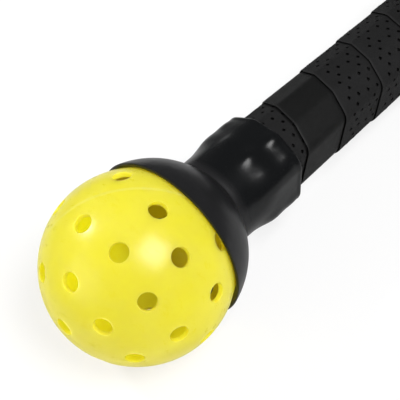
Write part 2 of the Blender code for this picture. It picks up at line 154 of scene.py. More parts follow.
def photo_camera():
    """The camera that sees the cup and the ball as the photograph does."""
    back = (CAMERA_BACK - CAMERA_RIGHT * CAMERA_BACK.dot(CAMERA_RIGHT)).normalized()
    up = back.cross(CAMERA_RIGHT)
    data = bpy.data.cameras.new("photo_camera")
    data.lens = CAMERA_LENS
    data.sensor_width = CAMERA_SENSOR_WIDTH
    data.clip_start = 0.01
    camera = bpy.data.objects.new("photo_camera", data)
    bpy.context.scene.collection.objects.link(camera)
    turn = Matrix((CAMERA_RIGHT, up, back)).transposed()
    camera.matrix_world = Matrix.Translation(ball_centre + turn @ Vector(CAMERA_FROM_BALL)) @ turn.to_4x4()
    bpy.context.scene.camera = camera


# Finishes

class Shade:
    """A value in a finish, which is written in sums like a number."""

    def __init__(self, finish, socket):
        self.finish = finish
        self.socket = socket

    def __add__(self, other):
        return self.finish.sum("ADD", self, other)

    __radd__ = __add__

    def __sub__(self, other):
        return self.finish.sum("SUBTRACT", self, other)

    def __rsub__(self, other):
        return self.finish.sum("SUBTRACT", other, self)

    def __mul__(self, other):
        return self.finish.sum("MULTIPLY", self, other)

    __rmul__ = __mul__


class Finish:
    """A material whose patterns are laid out in millimetres along the handle, from the ball's centre."""

    def __init__(self, name, **constants):
        self.material = bpy.data.materials.new(name)
        self.material.use_nodes = True
        self.nodes = self.material.node_tree.nodes
        self.links = self.material.node_tree.links
        self.shader = self.nodes["Principled BSDF"]
        for socket, value in constants.items():
            self.shader.inputs[socket.replace("_", " ").title().replace("Ior", "IOR")].default_value = value

    def node(self, kind, settings=None, inputs=None, output=0):
        """Any node: its settings are set first, then the values or links of its sockets."""
        node = self.nodes.new("ShaderNode" + kind)
        for setting, value in (settings or {}).items():
            setattr(node, setting, value)
        for socket, value in (inputs or {}).items():
            if isinstance(value, Shade):
                self.links.new(value.socket, node.inputs[socket])
            else:
                node.inputs[socket].default_value = value
        return Shade(self, node.outputs[output])

    def sum(self, operation, first, second):
        """One step of a sum."""
        return self.node("Math", {"operation": operation}, {0: first, 1: second})

    def place(self):
        """Where a point is on the object, in millimetres."""
        position = self.node("TexCoord", output="Object")
        return self.node("Mapping", {"vector_type": "TEXTURE"}, {
            "Vector": position, "Location": ball_centre, "Rotation": (0.0, handle_dip, 0.0),
            "Scale": (MM, MM, MM)})

    def stretched(self, place, scale):
        """A place with its axes scaled, so that a pattern is drawn out along some of them."""
        return self.node("VectorMath", {"operation": "MULTIPLY"}, {0: place, 1: scale})

    def noise(self, place, scale, detail=3.0, roughness=0.5):
        """Soft noise about 0.5, with a scale in lumps per millimetre."""
        return self.node("TexNoise", {}, {
            "Vector": place, "Scale": scale, "Detail": detail, "Roughness": roughness})

    def ramp(self, value, low, high, to_low=0.0, to_high=1.0):
        """A smooth change from one value to another."""
        return self.node("MapRange", {"interpolation_type": "SMOOTHSTEP"}, {
            "Value": value, "From Min": low, "From Max": high, "To Min": to_low, "To Max": to_high})

    def colours(self, share, first, second):
        """A colour between two, at a share."""
        return self.node("Mix", {"data_type": "RGBA"}, {0: share, 6: first, 7: second}, output=2)

    def feed(self, socket, value):
        """Let a value reach the shader."""
        self.links.new(value.socket, self.shader.inputs[socket])

    def bump(self, height, depth, after=None):
        """Relief of a depth in millimetres, from a height between 0 and 1."""
        inputs = {"Strength": 1.0, "Distance": depth * MM, "Height": height}
        if after is not None:
            inputs["Normal"] = after
        return self.node("Bump", {}, inputs, output="Normal")


def shade_of(red, green, blue):
    """A colour with its alpha."""
    return (red, green, blue, 1.0)


def cup_rubber():
    """Black moulded rubber: satin bell, dull fold, shiny where it is drawn over the butt, a little dust."""
    finish = Finish("cup_rubber", specular_ior_level=0.26, ior=1.5)
    place = finish.place()
    past_fold = finish.node("SeparateXYZ", inputs={0: place}, output="X") - FOLD / MM
    mould = finish.noise(place, 1.6, 4.0, 0.6)
    cloud = finish.noise(place, 0.09, 2.0)
    speck = finish.ramp(finish.noise(place, 1.9, 2.0, 0.7), 0.70, 0.75)
    drawn = finish.ramp(past_fold, 0.65, 4.65)
    fold = finish.ramp(past_fold, -1.75, -0.75) - finish.ramp(past_fold, 0.15, 2.15)
    finish.feed("Roughness", 0.24 + 0.10 * cloud - drawn * 0.07 + 0.05 * mould + 0.10 * speck + 0.15 * fold)
    black = finish.colours(cloud, shade_of(0.0085, 0.0085, 0.0092), shade_of(0.0125, 0.0125, 0.0135))
    black = finish.colours(drawn, black, shade_of(0.0035, 0.004, 0.0045))
    finish.feed("Base Color", finish.colours(0.5 * speck, black, shade_of(0.035, 0.034, 0.033)))
    skin = finish.bump(mould, 0.008)
    finish.feed("Normal", finish.bump(cloud, 0.25, skin))
    return finish.material


def caught_turn():
    """How the ball was turned when the cup caught it."""
    turn = Matrix.Identity(4)
    for degrees, axis in zip(BALL_CAUGHT_ANGLES, "XYZ"):
        turn = Matrix.Rotation(math.radians(degrees), 4, axis) @ turn
    return turn


def ball_plastic():
    """Bright yellow polyethylene: smooth, a little waxy, with a faint weld line, flow marks and scuffs.

    Painted light: the inside wall emits a faint yellow where the cup doesn't cover it. It stands in for
    light that comes through the thin wall.
    """
    finish = Finish("ball_plastic", subsurface_weight=1.0, subsurface_scale=0.014, ior=1.5,
                    specular_ior_level=0.30, emission_strength=1.0)
    finish.shader.inputs["Subsurface Radius"].default_value = (1.0, 1.0, 0.35)
    place = finish.place()
    cloud = finish.noise(place, 0.06, 2.0)
    flow = finish.noise(finish.stretched(place, (1.0, 0.35, 0.6)), 0.35, 3.0, 0.55)
    grain = finish.noise(place, 3.0, 2.0, 0.6)
    scuff = finish.ramp(finish.noise(finish.stretched(place, (0.3, 1.0, 2.2)), 1.1, 4.0, 0.65), 0.64, 0.72)
    yellow = finish.colours(cloud, shade_of(0.962, 0.758, 0.014), shade_of(0.978, 0.798, 0.075))
    yellow = finish.colours(0.15 * scuff, yellow, shade_of(0.90, 0.80, 0.16))
    from_weld = finish.node("VectorMath", {"operation": "DOT_PRODUCT"}, {
        0: place, 1: caught_turn() @ Vector((0.0, 0.0, 1.0))}, "Value")
    weld = finish.ramp(from_weld * from_weld, 0.02, 0.90, 1.0, 0.0)
    finish.feed("Base Color", finish.colours(0.32 * weld, yellow, shade_of(0.985, 0.85, 0.22)))
    finish.feed("Roughness", 0.25 + 0.04 * flow + 0.04 * scuff + 0.02 * grain)
    from_centre = finish.node("VectorMath", {"operation": "LENGTH"}, {0: place}, "Value")
    along = finish.node("SeparateXYZ", inputs={0: place}, output="X")
    outside, inside = BALL_RADIUS / MM, (BALL_RADIUS - BALL_WALL) / MM
    lip = LIP_FROM_BALL_CENTRE / MM
    # Painted light: a faint yellow emission on the inner wall, fading out under the cup's lip.
    painted_inner_light = finish.ramp(from_centre, inside + 0.2, outside - 0.2, 1.0, 0.0) * finish.ramp(
        along, lip - 5.4, lip + 2.6, 1.0, 0.0)
    finish.feed("Emission Color", finish.colours(
        painted_inner_light, shade_of(0.0, 0.0, 0.0), shade_of(0.112, 0.116, 0.003)))
    skin = finish.bump(grain, 0.003)
    skin = finish.bump(weld, 0.012, skin)
    finish.feed("Normal", finish.bump(flow, 0.02, skin))
    return finish.material


def tape_leather():
    """Black cushioned grip tape: leather grain, one smoother plain turn, lighter edges, painted shade in
    laps and holes.
    """
    finish = Finish("tape_leather", specular_ior_level=0.14, ior=1.5)
    flat = finish.node("Attribute", {"attribute_name": "flat_tape"}, output="Vector")
    travelled, across, depth = (
        finish.node("SeparateXYZ", inputs={0: flat}, output=axis) for axis in "XYZ")
    pores = finish.node("TexVoronoi", {"feature": "DISTANCE_TO_EDGE"}, {
        "Vector": finish.stretched(flat, (1.0, 1.25, 1.0)), "Scale": 1.9, "Randomness": 1.0})
    grain = finish.ramp(pores, 0.0, 0.16)
    cloud = finish.noise(flat, 0.16, 3.0)
    fine = finish.noise(flat, 4.0, 3.0, 0.6)
    # Lighter colour towards each turn's raised edge.
    edge = finish.ramp(across, 0.0, 1.3, 1.0, 0.0)
    turn, shown = TAPE_TURN / MM, TAPE_SHOWN_WIDTH / MM
    plain_start, plain_end, blend = PLAIN_TURN_START * turn, PLAIN_TURN_END * turn, 6.0
    plain = finish.ramp(travelled, plain_start - blend, plain_start + blend) - finish.ramp(
        travelled, plain_end - blend, plain_end + blend)
    # Painted shade: nearly black in the groove where the next turn laps over, and down inside the punched
    # holes.
    painted_shade = finish.node("Math", {"operation": "MAXIMUM"}, {
        0: finish.ramp(across, shown - 0.725, shown - 0.025),
        1: finish.ramp(depth, -0.30, -0.06, 1.0, 0.0)})
    black = finish.colours(cloud, shade_of(0.009, 0.009, 0.009), shade_of(0.015, 0.015, 0.0155))
    black = finish.colours(plain, black, shade_of(0.0065, 0.0067, 0.0067))
    black = finish.colours(0.5 - 0.5 * grain, black, shade_of(0.004, 0.004, 0.004))
    black = finish.colours(0.4 * edge, black, shade_of(0.026, 0.026, 0.026))
    finish.feed("Base Color", finish.colours(painted_shade, black, shade_of(0.001, 0.001, 0.001)))
    finish.feed("Roughness", 0.58 + 0.12 * cloud - 0.05 * grain + 0.08 * fine - 0.20 * plain)
    skin = finish.bump(fine, 0.02)
    finish.feed("Normal", finish.bump(grain, 0.03, skin))
    return finish.material


def moulded_black(name, roughness, grain_scale, grain_depth):
    """Black moulded plastic or rubber with an even fine grain."""
    finish = Finish(name)
    place = finish.place()
    grain = finish.noise(place, grain_scale, 3.0, 0.6)
    cloud = finish.noise(place, 0.15, 2.0)
    finish.feed("Base Color", finish.colours(
        cloud, shade_of(0.012, 0.012, 0.0125), shade_of(0.020, 0.020, 0.0205)))
    finish.feed("Roughness", roughness + 0.10 * cloud - 0.06 * grain)
    finish.feed("Normal", finish.bump(grain, grain_depth))
    return finish.material


def fibre_sheet():
    """Dark woven fibre with a dull thin coat of resin."""
    finish = Finish("fibre_sheet", specular_ior_level=0.2, coat_roughness=0.35)
    place = finish.place()
    along, across = (finish.node("TexWave", {"wave_type": "BANDS", "bands_direction": axis}, {
        "Vector": place, "Scale": 0.16, "Distortion": 0.4, "Detail": 1.0}) for axis in "XY")
    weave = along * across + (1.0 - along) * (1.0 - across)
    finish.feed("Base Color", finish.colours(
        weave, shade_of(0.016, 0.016, 0.018), shade_of(0.045, 0.045, 0.048)))
    finish.feed("Roughness", 0.68 - 0.10 * weave)
    finish.feed("Coat Weight", 0.04 + 0.04 * finish.noise(place, 0.2))
    finish.feed("Normal", finish.bump(weave, 0.02))
    return finish.material


def honeycomb_plastic():
    """Milky polypropylene, a little ragged where it was sawn."""
    finish = Finish("honeycomb_plastic", subsurface_weight=0.2, subsurface_scale=0.002)
    place = finish.place()
    fuzz = finish.noise(place, 2.6, 4.0, 0.65)
    finish.feed("Base Color", finish.colours(
        fuzz, shade_of(0.62, 0.63, 0.61), shade_of(0.80, 0.81, 0.79)))
    finish.feed("Roughness", 0.48 + 0.20 * fuzz)
    finish.feed("Normal", finish.bump(fuzz, 0.05))
    return finish.material


def pallet_foam():
    """Stiff tan foam with small open cells."""
    finish = Finish("pallet_foam")
    place = finish.place()
    cells = finish.node("TexVoronoi", {"feature": "F1"}, {"Vector": place, "Scale": 1.7, "Randomness": 1.0})
    cloud = finish.noise(place, 0.2, 2.0)
    tan = finish.colours(cloud, shade_of(0.55, 0.43, 0.28), shade_of(0.66, 0.54, 0.38))
    finish.feed("Base Color", finish.colours(cells * 0.6, tan, shade_of(0.42, 0.32, 0.20)))
    finish.feed("Roughness", 0.78 + 0.12 * cloud)
    finish.feed("Normal", finish.bump(cells, 0.12))
    return finish.material


def thin_band_tape():
    """Thin black tape, stretched smooth, with faint lines along its length."""
    finish = Finish("thin_band_tape")
    place = finish.place()
    lines = finish.noise(finish.stretched(place, (1.0, 0.06, 0.06)), 2.2, 3.0, 0.6)
    cloud = finish.noise(place, 0.25, 2.0)
    finish.feed("Base Color", finish.colours(
        lines, shade_of(0.009, 0.009, 0.0095), shade_of(0.017, 0.017, 0.018)))
    finish.feed("Roughness", 0.34 + 0.10 * cloud)
    finish.feed("Normal", finish.bump(lines, 0.03))
    return finish.material


# Modelling

def deselect_all():
    """Leave nothing selected, so that an operator acts on the new piece alone."""
    if bpy.context.mode != "OBJECT":
        bpy.ops.object.mode_set(mode="OBJECT")
    bpy.ops.object.select_all(action="DESELECT")


def select_only(piece):
    """Select one piece and make it active."""
    deselect_all()
    piece.select_set(True)
    bpy.context.view_layer.objects.active = piece


def open_piece(name):
    """Name the primitive that was just added, and open it for shaping."""
    piece = bpy.context.active_object
    piece.name = name
    piece.data.name = name
    bpy.ops.object.mode_set(mode="EDIT")
    bpy.ops.mesh.select_mode(type="VERT")
    bpy.ops.mesh.select_all(action="SELECT")
    return piece


def choose_faces(piece, test):
    """Select the open piece's faces that pass a test on their middle and normal."""
    bpy.ops.mesh.select_mode(type="FACE")
    bpy.ops.mesh.select_all(action="DESELECT")
    shape = bmesh.from_edit_mesh(piece.data)
    for face in shape.faces:
        face.select_set(test(face.calc_center_median(), face.normal))
    shape.select_flush_mode()
    bmesh.update_edit_mesh(piece.data)


def stroke(along, across, up):
    """Extrude what is selected."""
    bpy.ops.mesh.extrude_region_move(TRANSFORM_OT_translate={"value": (along, across, up)})


def close_piece():
    """Join the open piece's doubled vertices and turn its faces outwards."""
    bpy.ops.mesh.select_mode(type="VERT")
    bpy.ops.mesh.select_all(action="SELECT")
    bpy.ops.mesh.remove_doubles(threshold=TINY)
    bpy.ops.mesh.normals_make_consistent(inside=False)
    bpy.ops.object.mode_set(mode="OBJECT")


def cut_away(piece, cutter):
    """Cut one piece out of another, and join the doubled vertices that the cut leaves."""
    select_only(piece)
    modifier = piece.modifiers.new("cut", "BOOLEAN")
    modifier.operation = "DIFFERENCE"
    modifier.solver = "EXACT"
    modifier.object = cutter
    bpy.ops.object.modifier_apply(modifier=modifier.name)
    bpy.data.objects.remove(cutter)
    bpy.ops.object.mode_set(mode="EDIT")
    close_piece()


def copy_of(piece):
    """A copy with its own mesh, left active."""
    select_only(piece)
    bpy.ops.object.duplicate(linked=False)
    return bpy.context.active_object


def join_all(pieces):
    """Join pieces into one, with their places applied."""
    deselect_all()
    for piece in pieces:
        piece.select_set(True)
    bpy.context.view_layer.objects.active = pieces[0]
    bpy.ops.object.join()
    bpy.ops.object.transform_apply(location=True, rotation=True, scale=True)
    return bpy.context.active_object


def reshape(piece, mover):
    """Move every vertex to where a function says."""
    for vertex in piece.data.vertices:
        vertex.co = mover(vertex.co.copy())
    piece.data.update()


def finish_piece(piece, body, material, nodes, crease=35.0):
    """Shade a piece, lay it in the frame, give it its material, and tie it to its body."""
    select_only(piece)
    bpy.ops.object.shade_smooth_by_angle(angle=math.radians(crease))
    piece.matrix_world = LAY @ piece.matrix_world
    bpy.ops.object.transform_apply(location=True, rotation=True, scale=True)
    piece.data.materials.clear()
    piece.data.materials.append(material)
    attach(piece, body)
    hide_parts(*nodes)


def arc(centre_along, centre_radius, radius, start, end, steps):
    """Points (along, radius) on an arc, from one angle to another, where 0 points along +X."""
    return [(centre_along + radius * math.cos(start + (end - start) * step / steps),
             centre_radius + radius * math.sin(start + (end - start) * step / steps))
            for step in range(steps + 1)]


def turned(name, profile, sides):
    """A shape turned on the handle's axis from (along, radius) points.

    The points begin and end on the axis, or for a band they end where they began.
    """
    deselect_all()
    bpy.ops.mesh.primitive_plane_add(size=MM, location=(profile[0][0], 0.0, profile[0][1]))
    piece = open_piece(name)
    bpy.ops.mesh.merge(type="CENTER")
    for (along, radius), (next_along, next_radius) in zip(profile, profile[1:]):
        move = (next_along - along, 0.0, next_radius - radius)
        bpy.ops.mesh.extrude_vertices_move(TRANSFORM_OT_translate={"value": move})
    bpy.ops.mesh.select_all(action="SELECT")
    bpy.ops.mesh.spin(steps=sides, angle=2.0 * math.pi, center=(0.0, 0.0, 0.0), axis=(1.0, 0.0, 0.0))
    close_piece()
    bpy.ops.object.transform_apply(location=True)
    return piece


def smooth_step(value, low, high):
    """0 below low, 1 above high, and an even rise between them."""
    share = min(1.0, max(0.0, (value - low) / (high - low)))
    return share * share * (3.0 - 2.0 * share)


def hump(value, centre, width):
    """A round bump of height 1 about a centre."""
    return math.exp(-((value - centre) / width) ** 2)


# The grip's section

def grip_flats():
    """The section's flats, walking over the top from the upper corner on the -Y side.

    Each one is (its outward normal, the rounded corner's centre before it, the one after it).
    """
    width, depth = GRIP_HALF_WIDTH, GRIP_HALF_DEPTH
    low_width, low_depth = width - GRIP_CORNER_CUT_WIDTH, depth - GRIP_CORNER_CUT_DEPTH
    corners = [Vector(pair) for pair in (
        (-width, low_depth), (-low_width, depth), (low_width, depth), (width, low_depth),
        (width, -low_depth), (low_width, -depth), (-low_width, -depth), (-width, -low_depth))]
    runs = [(corners[(i + 1) % 8] - corners[i]).normalized() for i in range(8)]
    normals = [Vector((-run.y, run.x)) for run in runs]
    centres = []
    for i, corner in enumerate(corners):
        before, after = normals[i - 1], normals[i]
        centres.append(corner - (before + after) * (GRIP_EDGE_RADIUS / (1.0 + before.dot(after))))
    return [(normals[i], centres[i], centres[(i + 1) % 8]) for i in range(8)]


GRIP_FLATS = grip_flats()


def grip_stretches():
    """The walk round the section as (length, flat's number, turn of the corner before it, 0 on a flat)."""
    stretches = []
    for i, (normal, start, end) in enumerate(GRIP_FLATS):
        turn = math.acos(GRIP_FLATS[i - 1][0].dot(normal))
        stretches.append((turn * GRIP_EDGE_RADIUS, i, turn))
        stretches.append(((end - start).length, i, 0.0))
    return stretches


GRIP_STRETCHES = grip_stretches()
GRIP_ROUND = sum(length for length, flat, turn in GRIP_STRETCHES)


def grip_walk(travelled):
    """The point (y, z) of the wrapped section after a walk of some length, and the way out from it."""
    left = travelled % GRIP_ROUND
    for length, flat, turn in GRIP_STRETCHES:
        if left <= length:
            break
        left -= length
    normal, start, end = GRIP_FLATS[flat]
    if turn:
        out = normal.copy()
        out.rotate(Matrix.Rotation(turn * (1.0 - left / length), 2))
        return start + out * GRIP_EDGE_RADIUS, out
    return start.lerp(end, left / length) + normal * GRIP_EDGE_RADIUS, normal


def grip_reach(angle, offset):
    """Distance from the axis to the section at an angle from +Y, at an offset from the wrapped surface."""
    ray = Vector((math.cos(angle), math.sin(angle)))
    radius = GRIP_EDGE_RADIUS + offset
    reach, flat = min(((start.dot(normal) + radius) / ray.dot(normal), i)
                      for i, (normal, start, end) in enumerate(GRIP_FLATS) if ray.dot(normal) > 0.2)
    normal, start, end = GRIP_FLATS[flat]
    run = (end - start).normalized()
    on_flat = (ray * reach - start).dot(run)
    if radius <= 0.0 or 0.0 <= on_flat <= (end - start).length:
        return reach
    centre = start if on_flat < 0.0 else end
    nearest = ray.dot(centre)
    return nearest + math.sqrt(max(0.0, nearest ** 2 - centre.length_squared + radius ** 2))


# The radius that stands for the wrapped surface while a shape is still round, and the depth under it from
# which a shape narrows evenly towards the axis.
SECTION_ROUND = 17.0 * MM
DEEPEST_OFFSET = -6.0 * MM


def onto_section(point):
    """Turn a round shape into the grip's section at each point's own offset."""
    radius = math.hypot(point.y, point.z)
    if radius < TINY:
        return point
    angle = math.atan2(point.z, point.y)
    offset = max(radius - SECTION_ROUND, DEEPEST_OFFSET)
    reach = grip_reach(angle, offset) * min(1.0, radius / (SECTION_ROUND + DEEPEST_OFFSET))
    return Vector((point.x, reach * math.cos(angle), reach * math.sin(angle)))


def offsets_to_radii(steps):
    """Points given as (along, offset from the wrapped surface) as (along, radius)."""
    return [(along, SECTION_ROUND + offset) for along, offset in steps]


# Cup

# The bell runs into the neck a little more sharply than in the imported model, and the fold is where its
# fillet meets the neck.
TIGHT_FILLET = 1.0 * MM
FOLD_FROM_BELL_CENTRE = math.sqrt((BELL_RADIUS + TIGHT_FILLET) ** 2 - (NECK_RADIUS + TIGHT_FILLET) ** 2)
FOLD = BELL_CENTRE + FOLD_FROM_BELL_CENTRE
SLEEVE_RINGS = 48
SOCKET_EDGE = 0.3 * MM
# Where the socket's wall and its floor have rings, as shares of its depth and of its radius.
SOCKET_WALL_RINGS = (0.1, 0.2, 0.35, 0.5, 0.65, 0.8, 0.9, 1.0)
SOCKET_FLOOR_RINGS = (0.85, 0.5, 0.0)


def sleeve_offset(along):
    """How far the sleeve's outside lies from the wrapped grip's surface at a place along the handle."""
    return CLEARANCE + SLEEVE_WALL + SLEEVE_SWELL * (SOCKET_MOUTH - along) / SOCKET_DEPTH


def sleeve_share(along):
    """How far the cup's outside has gone over from the round neck to the grip's section."""
    return smooth_step(along, NECK_END, NECK_END + NECK_TO_SLEEVE)


def cup_profile():
    """The cup as (along, radius), from the bell's floor over lip, neck and rim to the socket's floor."""
    lip = LIP_FROM_BALL_CENTRE
    seat_end = (SEAT_RADIUS ** 2 - CAVITY_RADIUS ** 2 + BELL_CENTRE ** 2) / (2.0 * BELL_CENTRE)
    seat_end_radius = math.sqrt(SEAT_RADIUS ** 2 - seat_end ** 2)
    cavity_angle = math.atan2(seat_end_radius, seat_end - BELL_CENTRE)
    profile = arc(BELL_CENTRE, 0.0, CAVITY_RADIUS, 0.0, cavity_angle, 20)
    lip_angle = math.acos((lip + LIP_ROUNDING) / SEAT_RADIUS)
    profile += arc(0.0, 0.0, SEAT_RADIUS, math.atan2(seat_end_radius, seat_end), lip_angle, 6)[1:]
    lip_inside, lip_outside = LIP_INNER_RADIUS + LIP_ROUNDING, LIP_OUTER_RADIUS - LIP_ROUNDING
    profile += [(lip + 0.3 * LIP_ROUNDING, LIP_INNER_RADIUS + 0.25 * LIP_ROUNDING), (lip, lip_inside),
                (lip, lip_outside), (lip + 0.3 * LIP_ROUNDING, LIP_OUTER_RADIUS - 0.2 * LIP_ROUNDING)]
    lip_outer_angle = math.acos((lip + LIP_ROUNDING - BELL_CENTRE) / BELL_RADIUS)
    fillet_angle = math.atan2(NECK_RADIUS + TIGHT_FILLET, FOLD_FROM_BELL_CENTRE)
    profile += arc(BELL_CENTRE, 0.0, BELL_RADIUS, lip_outer_angle, fillet_angle, 34)
    profile += arc(FOLD, NECK_RADIUS + TIGHT_FILLET, TIGHT_FILLET,
                   math.pi + fillet_angle, 1.5 * math.pi, 12)[1:]
    rim_start = SOCKET_MOUTH - RIM_ROUNDING
    for ring in range(1, SLEEVE_RINGS + 1):
        along = FOLD + (rim_start - FOLD) * ring / SLEEVE_RINGS
        bead = RIM_BEAD * smooth_step(along, rim_start - 2.0 * RIM_ROUNDING, rim_start)
        outside = SECTION_ROUND + sleeve_offset(along) + bead
        profile.append((along, NECK_RADIUS + sleeve_share(along) * (outside - NECK_RADIUS)))
    profile += arc(rim_start, profile[-1][1] - RIM_ROUNDING, RIM_ROUNDING, 0.5 * math.pi, 0.0, 6)[1:]
    socket = SECTION_ROUND + CLEARANCE
    profile += arc(SOCKET_MOUTH - SOCKET_EDGE, socket + SOCKET_EDGE, SOCKET_EDGE, 0.0, -0.5 * math.pi, 3)
    profile += [(SOCKET_MOUTH - SOCKET_DEPTH * share, socket) for share in SOCKET_WALL_RINGS]
    return profile + [(SOCKET_FLOOR, socket * share) for share in SOCKET_FLOOR_RINGS]


# The section's lower corners on either side, as (across, down) from the axis.
LOWER_CORNERS = (
    (GRIP_HALF_WIDTH, GRIP_HALF_DEPTH - GRIP_CORNER_CUT_DEPTH),
    (GRIP_HALF_WIDTH - GRIP_CORNER_CUT_WIDTH, GRIP_HALF_DEPTH))
# The stretched sleeve's crests, as angles from +Y: along the middle of the top, where two close together
# make one that is flat over a small angle, and over the four lower corners.
TOP_CREST_FLAT = math.radians(1.126)
SLEEVE_CRESTS = [0.5 * (math.pi + side * TOP_CREST_FLAT) for side in (-1.0, 1.0)] + [
    math.atan2(-depth, side * width) for width, depth in LOWER_CORNERS for side in (-1.0, 1.0)]
# The middle of each of the section's slanted flats, from +Y or from -Y.
SLANTED_FLAT = math.radians(49.7)

# How far the sleeve swells, in millimetres: on its crests, where it is lopsided and fullest at one angle,
# and over the slanted flats. The spreads are in radians.
CREST_SWELL = 0.55
LOPSIDED_SWELL = 0.25
FULLEST_ANGLE = math.radians(34.0)
CREST_SPREAD = 0.36
FACET_SWELL = 0.40
FACET_SPREAD = 0.22
# Where along the handle that swelling grows, where on the neck any swelling fades in, and how far short of
# the rim it fades out.
SWELL_GROWS = (SOCKET_FLOOR - 3.0 * MM, SOCKET_FLOOR + 9.0 * MM)
NECK_FADE = (NECK_END - 4.0 * MM, NECK_END + 2.0 * MM)
RIM_FADE = 1.5 * MM


def crest_share(angle):
    """1 on a crest of the sleeve and 0 well away from one."""
    return max(hump(math.remainder(angle - crest, 2.0 * math.pi), 0.0, CREST_SPREAD)
               for crest in SLEEVE_CRESTS)


def facet_share(angle):
    """1 in the middle of the section's four slanted flats and 0 at their corners."""
    return hump(abs(math.remainder(angle, math.pi)), SLANTED_FLAT, FACET_SPREAD)


# Lumps of the stretched rubber over the butt's edge and behind the rim: (millimetres from the socket's
# floor, degrees from +Y, height in millimetres).
SLEEVE_LUMPS = (
    (4.8, 106.0, 1.10), (5.6, 132.0, 0.42), (4.6, 77.0, 0.70), (4.2, 34.0, 0.35), (4.6, 205.0, 0.30),
    (4.0, 250.0, 0.45), (4.4, 290.0, 0.45), (4.2, 330.0, 0.45), (18.0, 109.0, 1.50), (18.0, 133.0, 0.85),
    (15.6, 62.0, 0.25), (15.4, 34.0, 0.45), (17.0, 205.0, 0.40), (16.6, 250.0, 0.45), (17.2, 292.0, 0.40),
    (16.4, 330.0, 0.50))
SLEEVE_LUMP_LENGTH = 4.2 * MM
SLEEVE_LUMP_SPREAD = 0.19


def sleeve_swelling(along, angle):
    """How far the stretched rubber stands out: most on its crests, and in a few lumps."""
    full = smooth_step(along, *SWELL_GROWS)
    lopsided = CREST_SWELL + LOPSIDED_SWELL * math.cos(angle - FULLEST_ANGLE)
    swelling = full * (lopsided * crest_share(angle) + FACET_SWELL * facet_share(angle))
    for place, degrees, height in SLEEVE_LUMPS:
        turn = math.remainder(angle - math.radians(degrees), 2.0 * math.pi)
        swelling += height * hump(along, SOCKET_FLOOR + place * MM, SLEEVE_LUMP_LENGTH) * hump(
            turn, 0.0, SLEEVE_LUMP_SPREAD)
    return swelling * MM


def stretch_over_grip(point):
    """Turn the round profile into the grip's section along the sleeve and in the socket."""
    radius = math.hypot(point.y, point.z)
    inside_socket = radius < SECTION_ROUND + CLEARANCE + 0.35 * MM
    if inside_socket and point.x > SOCKET_FLOOR - TINY:
        return onto_section(point)
    if point.x < NECK_FADE[0] or radius < 0.5 * NECK_RADIUS:
        return point
    angle = math.atan2(point.z, point.y)
    share = sleeve_share(point.x)
    round_part = (1.0 - share) * NECK_RADIUS
    offset = (radius - round_part) / share - SECTION_ROUND if share > 0.01 else 0.0
    reach = round_part + share * grip_reach(angle, offset)
    reach += smooth_step(point.x, *NECK_FADE) * smooth_step(
        SOCKET_MOUTH - point.x, 0.0, RIM_FADE) * sleeve_swelling(point.x, angle)
    return Vector((point.x, reach * math.cos(angle), reach * math.sin(angle)))


def retriever_cup(material):
    """The rubber cup: bell, neck, and the sleeve that is stretched over the butt."""
    cup = turned("cup", cup_profile(), CUP_SIDES)
    reshape(cup, stretch_over_grip)
    finish_piece(cup, "cup", material, ["retriever_cup"], 40.0)


# Ball

# A hole's rounded edge: its width and depth, and the steps in which it opens, as (rise, flare).
HOLE_EDGE_WIDTH = 0.2 * MM
HOLE_EDGE_DEPTH = 0.32 * MM
HOLE_EDGE_STEPS = ((0.16 * MM, 0.03 * MM), (0.12 * MM, 0.09 * MM), (0.30 * MM, 0.36 * MM))


def hole_pin():
    """A pin that leaves one of the ball's holes, flared at its top so that the hole's edge is rounded."""
    bottom = BALL_RADIUS - 2.0 * BALL_WALL
    surface = math.sqrt(BALL_RADIUS ** 2 - (BALL_HOLE_RADIUS + HOLE_EDGE_WIDTH) ** 2)
    straight = surface - HOLE_EDGE_DEPTH
    deselect_all()
    bpy.ops.mesh.primitive_cylinder_add(
        vertices=HOLE_SIDES, radius=BALL_HOLE_RADIUS, depth=straight - bottom,
        location=(0.0, 0.0, (straight + bottom) / 2.0))
    pin = open_piece("hole_pin")
    choose_faces(pin, lambda middle, normal: normal.z > 0.9)
    radius = BALL_HOLE_RADIUS
    for rise, flare in HOLE_EDGE_STEPS:
        stroke(0.0, 0.0, rise)
        growth = (radius + flare) / radius
        bpy.ops.transform.resize(value=(growth, growth, 1.0), center_override=(0.0, 0.0, straight))
        radius += flare
    bpy.ops.object.mode_set(mode="OBJECT")
    bpy.ops.object.transform_apply(location=True)
    return pin


def hole_pins():
    """The pins of all the holes of the half about +Z."""
    pin = hole_pin()
    pins = []
    for count, latitude, first in zip(BALL_RING_COUNTS, BALL_RING_LATITUDES, BALL_RING_LONGITUDES):
        for i in range(count):
            longitude = first + 360.0 * i / count
            copy = copy_of(pin)
            copy.rotation_euler = (0.0, math.radians(90.0 - latitude), math.radians(longitude))
            pins.append(copy)
    bpy.data.objects.remove(pin)
    return join_all(pins)


def ball_shell():
    """The ball's hollow shell, welded from two equal halves: the one about -Z is the other turned over."""
    deselect_all()
    bpy.ops.mesh.primitive_uv_sphere_add(
        segments=BALL_SEGMENTS, ring_count=BALL_SEGMENTS // 2, radius=BALL_RADIUS)
    shell = bpy.context.active_object
    shell.name = shell.data.name = "ball_shell_yellow"
    wall = shell.modifiers.new("wall", "SOLIDIFY")
    wall.thickness = BALL_WALL
    wall.offset = -1.0
    bpy.ops.object.modifier_apply(modifier=wall.name)
    turnover = math.radians(BALL_TURNOVER_LONGITUDE)
    turnover_axis = Vector((math.cos(turnover), math.sin(turnover), 0.0))
    upper_pins = hole_pins()
    lower_pins = copy_of(upper_pins)
    lower_pins.matrix_world = Matrix.Rotation(math.pi, 4, turnover_axis)
    cut_away(shell, join_all([upper_pins, lower_pins]))
    return shell


def caught_ball(material):
    """The ball as it was caught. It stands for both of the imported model's halves."""
    shell = ball_shell()
    shell.matrix_world = caught_turn()
    finish_piece(shell, "ball", material, ["ball_half_front", "ball_half_back"], 30.0)


# Grip tape. The flat tape lies along +X with its raised edge at y = 0, and is then wound round the grip.

